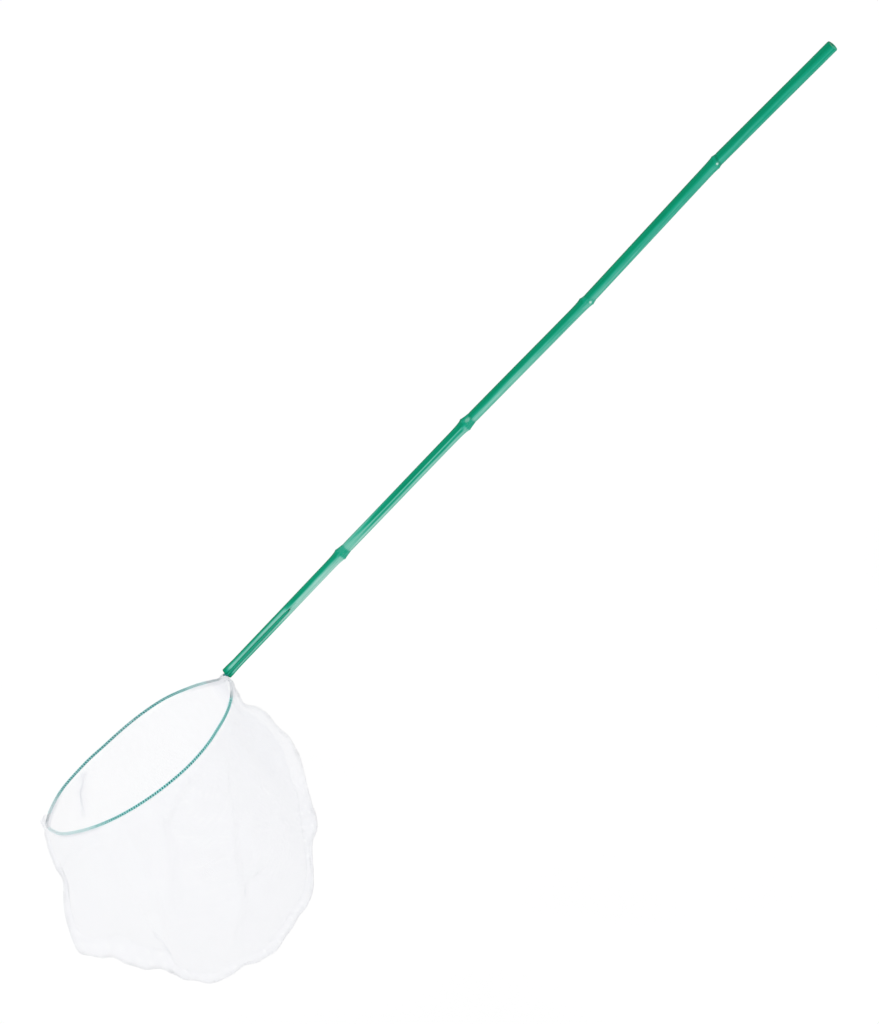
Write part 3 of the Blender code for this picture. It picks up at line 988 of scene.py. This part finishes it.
hem_section = [
    (-HEM_PINCH, -HEM_DEPTH - HEM_FLAP),
    (-HEM_PINCH, -HEM_DEPTH),
    (-HEM_PINCH * HEM_SHOULDER_OUT, -HEM_DEPTH * HEM_SHOULDER_DOWN),
]
for angle in HEM_TURNS:
    turn = math.radians(angle)
    hem_section.append((HEM_RADIUS * math.cos(turn), HEM_RADIUS * math.sin(turn)))
hem_section += [(HEM_PINCH * HEM_SHOULDER_OUT, -HEM_DEPTH * HEM_SHOULDER_DOWN), (HEM_PINCH, -HEM_DEPTH)]
HEM_ROWS = len(hem_section)
PANEL_ROWS = HEM_ROWS + BODY_ROWS + FLANGE_ROWS


def panel_point(rim, hem, side, column, row):
    """A point of a panel before its folds; side is 1 for the front panel and -1 for the back."""
    out, up = rim_frame(rim, column)
    across, height = hem_section[min(row, HEM_ROWS - 1)]
    place = column / PANEL_COLUMNS
    swell = 1 + HEM_SWELL * between(hem, place)
    point = rim[column] + (out * across + up * height) * swell
    if row >= HEM_ROWS:
        sewn = seam[column]
        share = min(1.0, (row - HEM_ROWS + 1) / BODY_ROWS)
        slack = (BAG_FULLNESS + NECK_SAG) * ease((SAG_FROM - place) / SAG_RUN) - NECK_SAG
        bow = slack * share * (1 - share) * (point.y - sewn.y)
        deepest = min(NECK_DROP, DROP_SHARE * (sewn - point).length)
        drop = deepest * ease((place - DROP_FROM) / DROP_RUN)
        point = point.lerp(sewn, share)
        point.y += bow
        point.z -= drop * 4 * share * (1 - share)
        past = max(0, row - HEM_ROWS + 1 - BODY_ROWS) / FLANGE_ROWS
        point = point.lerp(cut_edge[column], past)
    point.y = -side * max(-side * point.y, PANEL_OFFSET)
    return point


def nearest_on(line, point):
    """Offset of a point from the nearest leg of a line, the leg's way, and its share of the line."""
    best = None
    for leg, (start, end) in enumerate(zip(line, line[1:])):
        way = end - start
        share = min(1.0, max(0.0, (point - start).dot(way) / way.length_squared))
        offset = point - start - way * share
        if best is None or offset.length_squared < best[0].length_squared:
            best = (offset, way, (leg + share) / (len(line) - 1))
    return best


def pleat_push(point, normal, pleats):
    """How far pleats carry a point, across each fold line and out, and how much closer they draw its net,
    partly bunching and partly painted shade in the crease.
    """
    push = Vector()
    crushed_and_shaded = 0.0
    for line, half, across, out, crush_and_shade in pleats:
        offset, way, place = nearest_on(line, point)
        if offset.length_squared > 2 * half * half:
            continue
        sideways = normal.cross(way).normalized()
        away = offset.dot(sideways) / half
        if abs(away) < 1:
            fading = ease(min(place, 1 - place) / PLEAT_FADE)
            push -= (sideways * (across * half) + normal * out) * (math.sin(math.pi * away) * fading)
            # Closer net along the crease: partly bunched net, partly painted shade.
            crushed_and_shaded += crush_and_shade * fading * math.exp(-CRUSH_AND_SHADE_SHARPNESS * away * away)
    return push, crushed_and_shaded


def wrinkle_push(rim_length, side, column, share, point):
    """How far the wrinkles and the gathers under the hem push the net out."""
    push = WRINKLE * noise.noise(point / WRINKLE_WAVE + Vector((0.0, WRINKLE_START * side, 0.0)))
    start = Vector((FINE_WRINKLE_START[0], FINE_WRINKLE_START[1] * side, 0.0))
    push += FINE_WRINKLE * WRINKLE * noise.noise(point / (FINE_WRINKLE_WAVE * WRINKLE_WAVE) + start)
    along = column / PANEL_COLUMNS * rim_length
    return push + GATHER * math.exp(-share / GATHER_REACH) * math.sin(2 * math.pi * along / GATHER_WAVE)


def build_panel(rim, hem, side, gather, folds):
    """A panel of net with its hem, folds and seam edge, gathered up by the cane."""
    panel = bmesh.new()
    rim_length = path_length(rim)
    thread_layer = panel.verts.layers.float.new("thread")
    column_layer = panel.verts.layers.int.new("column")
    row_layer = panel.verts.layers.int.new("row")
    bmesh.ops.create_grid(panel, x_segments=PANEL_COLUMNS, y_segments=PANEL_ROWS - 1, size=1.0)
    for vert in panel.verts:
        vert[column_layer] = round((vert.co.x + 1) / 2 * PANEL_COLUMNS)
        vert[row_layer] = round((vert.co.y + 1) / 2 * (PANEL_ROWS - 1))
        vert.co = panel_point(rim, hem, side, vert[column_layer], vert[row_layer])
    smooth_outward(panel)
    if sum(vert.normal.y for vert in panel.verts) * side > 0:
        bmesh.ops.reverse_faces(panel, faces=panel.faces)
        panel.normal_update()
    pleats = []
    for places, *form in folds:
        line = []
        for along, down in places:
            row = HEM_ROWS - 1 + round(down * BODY_ROWS)
            line.append(panel_point(rim, hem, side, round(along * PANEL_COLUMNS), row))
        pleats.append((line, *form))
    pushes = []
    for vert in panel.verts:
        column = vert[column_layer]
        share = (vert[row_layer] - HEM_ROWS + 1) / BODY_ROWS
        past = max(0.0, (share - 1) * BODY_ROWS / FLANGE_ROWS)
        push = FRONT * (past * past * ruffle(column))
        place = column / PANEL_COLUMNS
        threads = NET_THREADS if share < 1 else FLANGE_THREADS
        if vert[row_layer] < HEM_ROWS:
            threads = hem
        vert[thread_layer] = between(threads, place)
        if 0 < share < 1:
            free = ease(share / FREE_BELOW_HEM) * ease((1 - share) / FREE_ABOVE_SEAM)
            swing, crushed_and_shaded = pleat_push(vert.co, vert.normal, pleats)
            push += (swing + vert.normal * wrinkle_push(rim_length, side, column, share, vert.co)) * free
            gathered = ease((place - gather) / GATHER_RUN) * (1 - ease((share - GATHER_DOWN) / GATHER_FADE))
            # Closer net along the pleats, partly painted shade, and gathered net by the cane.
            vert[thread_layer] += crushed_and_shaded + (GATHERED_THREAD - vert[thread_layer]) * gathered
        pushes.append(push)
    for vert, push in zip(panel.verts, pushes):
        vert.co += push
        if vert[row_layer] < HEM_ROWS + BODY_ROWS:
            vert.co.y = -side * max(-side * vert.co.y, PANEL_OFFSET)
    return panel


def lay_flat(piece, rim, stretch):
    """Unwraps a panel to its flat cut, in metres, and returns the cut's width, length and area."""
    bpy.context.view_layer.objects.active = piece
    piece.select_set(True)
    bpy.ops.object.mode_set(mode="EDIT")
    bpy.ops.mesh.select_all(action="SELECT")
    bpy.ops.uv.unwrap(method="CONFORMAL", margin=0.0)
    bpy.ops.object.mode_set(mode="OBJECT")
    piece.select_set(False)
    cut = piece.data.uv_layers.active.data
    flat_area = 0.0
    for face in piece.data.polygons:
        corners = [cut[index].uv for index in face.loop_indices]
        for first, second in zip(corners, corners[1:] + corners[:1]):
            flat_area += (first.x * second.y - second.x * first.y) / 2
    area = sum(face.area for face in piece.data.polygons)
    scale = math.sqrt(area / abs(flat_area))
    for corner in cut:
        corner.uv *= scale
    wide = [corner.uv.x for corner in cut]
    long = [corner.uv.y for corner in cut]
    straighten_hem(piece, rim, stretch)
    return max(wide) - min(wide), max(long) - min(long), area


def straighten_hem(piece, rim, stretch):
    """Turns the net of the hem so that its holes, bunched up or stretched, run in rows along the wire."""
    column = piece.data.attributes["column"].data
    row = piece.data.attributes["row"].data
    cut = piece.data.uv_layers.active.data
    run = path_length(rim) / PANEL_COLUMNS
    above = next(level for level, place in enumerate(hem_section) if place[1] > ABOVE_MIDDLE)
    section = [Vector((across, height, 0.0)) for across, height in hem_section]
    down = [0.0]
    for before, after in zip(section, section[1:]):
        down.append(down[-1] + (after - before).length)
    start = down[above] + HEM_RADIUS * math.radians(HEM_HOLES_PAST)
    stretches = [between(stretch, place / PANEL_COLUMNS) for place in range(PANEL_COLUMNS + 1)]
    runs = [0.0]
    for stretched_by in stretches:
        runs.append(runs[-1] + run / stretched_by)
    for face in piece.data.polygons:
        rows = [row[index].value for index in face.vertices]
        if max(rows) < HEM_ROWS:
            for loop, vertex, level in zip(face.loop_indices, face.vertices, rows):
                place = column[vertex].value
                cut[loop].uv = (runs[place], (down[level] - start) / stretches[place])


def make_net_group():
    """Six-sided net: from a flat place in metres, a mask of the threads and their rounded height."""
    group = bpy.data.node_groups.new("six_sided_net", "ShaderNodeTree")
    for name in ("Place", "Pitch", "Thread"):
        kind = "NodeSocketVector" if name == "Place" else "NodeSocketFloat"
        group.interface.new_socket(name, in_out="INPUT", socket_type=kind)
    for name in ("Mask", "Height"):
        group.interface.new_socket(name, in_out="OUTPUT", socket_type="NodeSocketFloat")
    given = group.nodes.new("NodeGroupInput").outputs
    result = group.nodes.new("NodeGroupOutput").inputs

    def vector(operation, first, second=None):
        node = add_node(group, "ShaderNodeVectorMath", operation=operation)
        for socket, value in zip(node.inputs, (first, second)):
            if isinstance(value, tuple):
                socket.default_value = value
            elif value is not None:
                group.links.new(value, socket)
        return node

    sway = add_node(group, "ShaderNodeTexNoise")
    sway.inputs["Scale"].default_value = NET_SWAY_SCALE
    sway.inputs["Detail"].default_value = 1.0
    group.links.new(given["Place"], sway.inputs["Vector"])
    shift = vector("SUBTRACT", sway.outputs["Color"], (0.5, 0.5, 0.5)).outputs[0]
    shift = vector("MULTIPLY", shift, (NET_SWAY, NET_SWAY, 0.0)).outputs[0]
    swayed = vector("ADD", given["Place"], shift).outputs[0]
    scaled = add_node(group, "ShaderNodeVectorMath", operation="SCALE")
    group.links.new(swayed, scaled.inputs[0])
    group.links.new(summed(group, "DIVIDE", 1.0, given["Pitch"]), scaled.inputs["Scale"])
    cell = (1.0, math.sqrt(3), 1.0)
    flat_cell = (1.0, math.sqrt(3), 0.0)
    half = (0.5, 0.5, 0.0)
    counted = vector("DIVIDE", scaled.outputs[0], cell).outputs[0]
    first = vector("SUBTRACT", vector("FRACTION", counted).outputs[0], half).outputs[0]
    first = vector("MULTIPLY", first, flat_cell).outputs[0]
    second = vector("FRACTION", vector("SUBTRACT", counted, half).outputs[0]).outputs[0]
    second = vector("SUBTRACT", second, half).outputs[0]
    second = vector("MULTIPLY", second, flat_cell).outputs[0]
    to_first = vector("LENGTH", first).outputs["Value"]
    to_second = vector("LENGTH", second).outputs["Value"]
    nearer = summed(group, "LESS_THAN", to_first, to_second)
    pick = add_node(group, "ShaderNodeMix", data_type="VECTOR")
    group.links.new(nearer, pick.inputs["Factor"])
    sockets = [item for item in pick.inputs if item.type == "VECTOR" and item.name in ("A", "B")]
    group.links.new(second, sockets[0])
    group.links.new(first, sockets[1])
    chosen = next(item for item in pick.outputs if item.type == "VECTOR")
    folded = vector("ABSOLUTE", chosen).outputs[0]
    slanted = vector("DOT_PRODUCT", folded, (0.5, math.sqrt(3) / 2, 0.0)).outputs["Value"]
    split = add_node(group, "ShaderNodeSeparateXYZ")
    group.links.new(folded, split.inputs[0])
    out = summed(group, "MAXIMUM", slanted, split.outputs["X"])
    edge = summed(group, "SUBTRACT", 0.5, out)
    across = summed(group, "DIVIDE", edge, given["Thread"])
    solid = add_node(group, "ShaderNodeMapRange", interpolation_type="SMOOTHSTEP")
    group.links.new(across, solid.inputs["Value"])
    solid.inputs["From Min"].default_value = 1 + THREAD_BLUR
    solid.inputs["From Max"].default_value = 1 - THREAD_BLUR
    group.links.new(solid.outputs["Result"], result["Mask"])
    rounded = summed(group, "SUBTRACT", 1.0, summed(group, "MULTIPLY", across, across))
    group.links.new(summed(group, "MAXIMUM", rounded, 0.0), result["Height"])
    return group


net_group = make_net_group()
nylon_net, tree, shader = new_material("nylon_net")
cut_place = add_node(tree, "ShaderNodeUVMap", uv_map="flat_cut").outputs["UV"]
net = add_node(tree, "ShaderNodeGroup", node_tree=net_group)
tree.links.new(cut_place, net.inputs["Place"])
net.inputs["Pitch"].default_value = NET_PITCH
tree.links.new(attribute(tree, "thread", "Fac"), net.inputs["Thread"])
twist = clouds(tree, stretched(tree, cut_place, TWIST_SCALE), 2.0)
soil = clouds(tree, stretched(tree, cut_place, SOIL_SCALE), 3.0)
colour = mixed(tree, 1.0, NET_WHITE, ranged(tree, twist, 0.3, 0.7, 0.94, 1.04), "MULTIPLY")
colour = mixed(tree, 1.0, colour, ranged(tree, soil, 0.3, 0.7, 0.98, 1.01), "MULTIPLY")
tree.links.new(colour, shader.inputs["Base Color"])
tree.links.new(ranged(tree, twist, 0.3, 0.7, 0.45, 0.65), shader.inputs["Roughness"])
outer_side = summed(tree, "SUBTRACT", 1.0, add_node(tree, "ShaderNodeNewGeometry").outputs["Backfacing"])
tree.links.new(summed(tree, "MULTIPLY", net.outputs["Mask"], outer_side), shader.inputs["Alpha"])
tree.links.new(bumped(tree, net.outputs["Height"], 0.2, 0.0002), shader.inputs["Normal"])
shader.inputs["Specular IOR Level"].default_value = 0.3
shader.inputs["Sheen Weight"].default_value = 0.15

for name, node, rim, hem, stretch, side, gather, folds in (
    ("front_panel", "net_front_panel", front_rim, FRONT_HEM, FRONT_STRETCH, 1.0, FRONT_GATHER, FRONT_FOLDS),
    ("back_panel", "net_back_panel", back_rim, BACK_HEM, BACK_STRETCH, -1.0, BACK_GATHER, BACK_FOLDS),
):
    panel = finish_piece(build_panel(rim, hem, side, gather, folds), name, nylon_net, node)
    panel.data.uv_layers.new(name="flat_cut")
    width, length, area = lay_flat(panel, rim, stretch)
    thickness = panel.modifiers.new("thickness", "SOLIDIFY")
    thickness.thickness = CLOTH_THICKNESS
    thickness.offset = 0.0


# Seam thread: white overlock sewn round the U. Its needle thread holds the two panels together in
# a line of small stitches, and its loopers wrap their cut edges.
SEAM_THREAD_RADIUS = 0.00007
SEAM_STITCH = 0.0026
STITCH_POINTS = 4
SEAM_REACH = 0.0030
SEAM_REACH_SHARE = 0.5
SEAM_OVERHANG = 0.0004
SEAM_LIFT = 0.00085
SEAM_END_SHARE = 0.01
THREAD_SPOKES = 6
THREAD_WHITE = (0.905, 0.915, 0.94, 1.0)
PLY_SCALE = (4200.0, 4200.0, 4200.0)


def along_path(path, share):
    """A point of an even path at a share of it."""
    place = share * (len(path) - 1)
    leg = min(int(place), len(path) - 2)
    return path[leg].lerp(path[leg + 1], place - leg)


stitch_count = round(path_length(cut_edge) / SEAM_STITCH)
wrap = []
for step in range(STITCH_POINTS * stitch_count):
    share = step / (STITCH_POINTS * stitch_count - 1)
    edge = along_path(cut_edge, share)
    inward = along_path(seam, share) - edge
    reach = min(SEAM_REACH, SEAM_REACH_SHARE * inward.length)
    quarter = step % STITCH_POINTS
    level = 1 - reach / inward.length if quarter in (0, 2) else 1.0
    point = edge + inward.normalized() * (reach if quarter in (0, 2) else -SEAM_OVERHANG)
    point += FRONT * (level * level * ruffle(share * PANEL_COLUMNS))
    point += FRONT * (SEAM_LIFT if quarter == 0 else -SEAM_LIFT if quarter == 2 else 0.0)
    wrap.append(point)
overlock = draw_rod(wrap, SEAM_THREAD_RADIUS, THREAD_SPOKES)
needle_steps = round(path_length(seam) / SEAM_STITCH) * STITCH_POINTS
needle_line = []
for step in range(needle_steps + 1):
    point = along_path(seam, SEAM_END_SHARE + (1 - 2 * SEAM_END_SHARE) * step / needle_steps)
    needle_line.append(point + FRONT * (SEAM_LIFT * math.sin(math.pi * step / STITCH_POINTS)))
draw_rod(needle_line, SEAM_THREAD_RADIUS, THREAD_SPOKES, overlock)
smooth_outward(overlock)


def make_thread(name, colour):
    """Twisted sewing thread of one colour."""
    material, tree, shader = new_material(name)
    place = add_node(tree, "ShaderNodeTexCoord").outputs["Object"]
    plies = clouds(tree, stretched(tree, place, PLY_SCALE), 2.0)
    spun = mixed(tree, 1.0, colour, ranged(tree, plies, 0.3, 0.7, 0.93, 1.04), "MULTIPLY")
    tree.links.new(spun, shader.inputs["Base Color"])
    tree.links.new(ranged(tree, plies, 0.3, 0.7, 0.5, 0.7), shader.inputs["Roughness"])
    tree.links.new(bumped(tree, plies, 0.3, 0.0001), shader.inputs["Normal"])
    shader.inputs["Specular IOR Level"].default_value = 0.2
    return material


finish_piece(overlock, "seam_thread", make_thread("white_thread", THREAD_WHITE), "seam_overlock")


# Hem stitches: pale green thread whipped round each hem and the wire in it in even slanting turns,
# fourfold on the front half and threefold on the back.
HEM_THREAD_GREEN = (0.46, 0.90, 0.87, 1.0)
WHIP_PITCH = 0.0023
WHIP_POINTS = 8
WHIP_GAP = 0.00003
# Radius of the thread, its strands' places side by side in radii, and where on the rim it starts and stops
FRONT_WHIPPING = (0.00012, (-3.15, -1.05, 1.05, 3.15), 0.06, 0.925)
BACK_WHIPPING = (0.00011, (-2.1, 0.0, 2.1), 0.05, 0.76)
green_thread = make_thread("green_thread", HEM_THREAD_GREEN)
for name, node, rim, whipped in (
    ("whipping_front", "hem_stitch_front", front_rim, FRONT_WHIPPING),
    ("whipping_back", "hem_stitch_back", back_rim, BACK_WHIPPING),
):
    radius, strands, start, stop = whipped
    rim_length = path_length(rim)
    turns = round((stop - start) * rim_length / WHIP_PITCH)
    around = HEM_RADIUS + CLOTH_THICKNESS / 2 + radius + WHIP_GAP
    whipping = None
    for strand in strands:
        line = []
        for step in range(turns * WHIP_POINTS + 1):
            share = start + (strand * radius + step * WHIP_PITCH / WHIP_POINTS) / rim_length
            out, up = rim_frame(rim, round(share * PANEL_COLUMNS))
            angle = 2 * math.pi * step / WHIP_POINTS
            line.append(along_path(rim, share) + (out * math.cos(angle) + up * math.sin(angle)) * around)
        whipping = draw_rod(line, radius, THREAD_SPOKES, whipping)
    smooth_outward(whipping)
    finish_piece(whipping, name, green_thread, node)


# Studio: a pale floor a metre under the hand, one broad soft light from the front and left, and a
# weaker one from behind. The camera stands far off with a long lens, as the photograph shows it.
FLOOR_HEIGHT = -1.0
FLOOR_HALF = 9.0
FLOOR_GREY = 0.92
FLOOR_GLOW = 0.105
MOTTLE_SCALE = (3.0, 3.0, 3.0)
PLAIN_WHITE = (1.0, 1.0, 1.0, 1.0)
WORLD_LIGHT = 0.94
KEY_LIGHT = 0.16
KEY_LIGHT_FROM = (-0.40, -0.88, 0.12)
BACK_LIGHT = 0.04
BACK_LIGHT_FROM = (0.50, 0.80, 0.45)
LIGHT_SPREAD = 60
CAMERA_ELEVATION = math.radians(22.7)
PIXEL_SIZE = 0.00079
PHOTO_WIDTH = 879
PHOTO_HEIGHT = 1024
HOOP_PIXEL = (138.7, 759.8)
LENS = 1000.0
SENSOR = 36.0

ground = bmesh.new()
bmesh.ops.create_grid(ground, x_segments=4, y_segments=4, size=FLOOR_HALF)
bmesh.ops.translate(ground, verts=ground.verts, vec=(0.0, 0.0, FLOOR_HEIGHT))
floor_mesh = bpy.data.meshes.new("floor")
ground.to_mesh(floor_mesh)
ground.free()


def seen_rays(tree):
    """1 for rays that show the surface itself: from the camera, a reflection or through glass."""
    rays = add_node(tree, "ShaderNodeLightPath").outputs
    seen = summed(tree, "MAXIMUM", rays["Is Camera Ray"], rays["Is Glossy Ray"])
    return summed(tree, "MAXIMUM", seen, rays["Is Transmission Ray"])


pale_floor, tree, shader = new_material("pale_floor")
place = add_node(tree, "ShaderNodeTexCoord").outputs["Object"]
mottle = clouds(tree, stretched(tree, place, MOTTLE_SCALE), 2.0)
shade = ranged(tree, mottle, 0.3, 0.7, 0.99, 1.01)
grey = (FLOOR_GREY, FLOOR_GREY, FLOOR_GREY, 1.0)
tree.links.new(mixed(tree, 1.0, grey, shade, "MULTIPLY"), shader.inputs["Base Color"])
shader.inputs["Roughness"].default_value = 0.9
shader.inputs["Specular IOR Level"].default_value = 0.0
tree.links.new(summed(tree, "MULTIPLY", seen_rays(tree), FLOOR_GLOW), shader.inputs["Emission Strength"])
shader.inputs["Emission Color"].default_value = PLAIN_WHITE
floor_mesh.materials.append(pale_floor)
floor = bpy.data.objects.new("floor", floor_mesh)
bpy.context.scene.collection.objects.link(floor)

world = bpy.data.worlds.new("studio")
world.use_nodes = True
bpy.context.scene.world = world
tree = world.node_tree
sky = tree.nodes["Background"]
tree.links.new(ranged(tree, seen_rays(tree), 0.0, 1.0, WORLD_LIGHT, 1.0), sky.inputs["Strength"])
sky.inputs["Color"].default_value = PLAIN_WHITE


def add_light(name, from_where, share, spread):
    """A broad distant light that gives a square-on white surface that share of white."""
    lamp = bpy.data.lights.new(name, "SUN")
    lamp.energy = share * math.pi
    lamp.angle = math.radians(spread)
    holder = bpy.data.objects.new(name, lamp)
    holder.rotation_euler = Vector(from_where).to_track_quat("Z", "Y").to_euler()
    bpy.context.scene.collection.objects.link(holder)


add_light("front_softbox", KEY_LIGHT_FROM, KEY_LIGHT, LIGHT_SPREAD)
add_light("back_softbox", BACK_LIGHT_FROM, BACK_LIGHT, LIGHT_SPREAD)

view_from = Vector((0.0, -math.cos(CAMERA_ELEVATION), math.sin(CAMERA_ELEVATION)))
right_shift = (PHOTO_WIDTH / 2 - HOOP_PIXEL[0]) * PIXEL_SIZE
up_shift = (HOOP_PIXEL[1] - PHOTO_HEIGHT / 2) * PIXEL_SIZE / math.cos(CAMERA_ELEVATION)
aim = hoop_middle + Vector((right_shift, 0.0, up_shift))
lens = bpy.data.cameras.new("camera")
lens.lens = LENS
lens.sensor_width = SENSOR
camera = bpy.data.objects.new("camera", lens)
camera.location = aim + view_from * (LENS * PHOTO_HEIGHT * PIXEL_SIZE / SENSOR)
camera.rotation_euler = view_from.to_track_quat("Z", "Y").to_euler()
bpy.context.scene.collection.objects.link(camera)
bpy.context.scene.camera = camera
bpy.context.scene.view_settings.view_transform = "Standard"
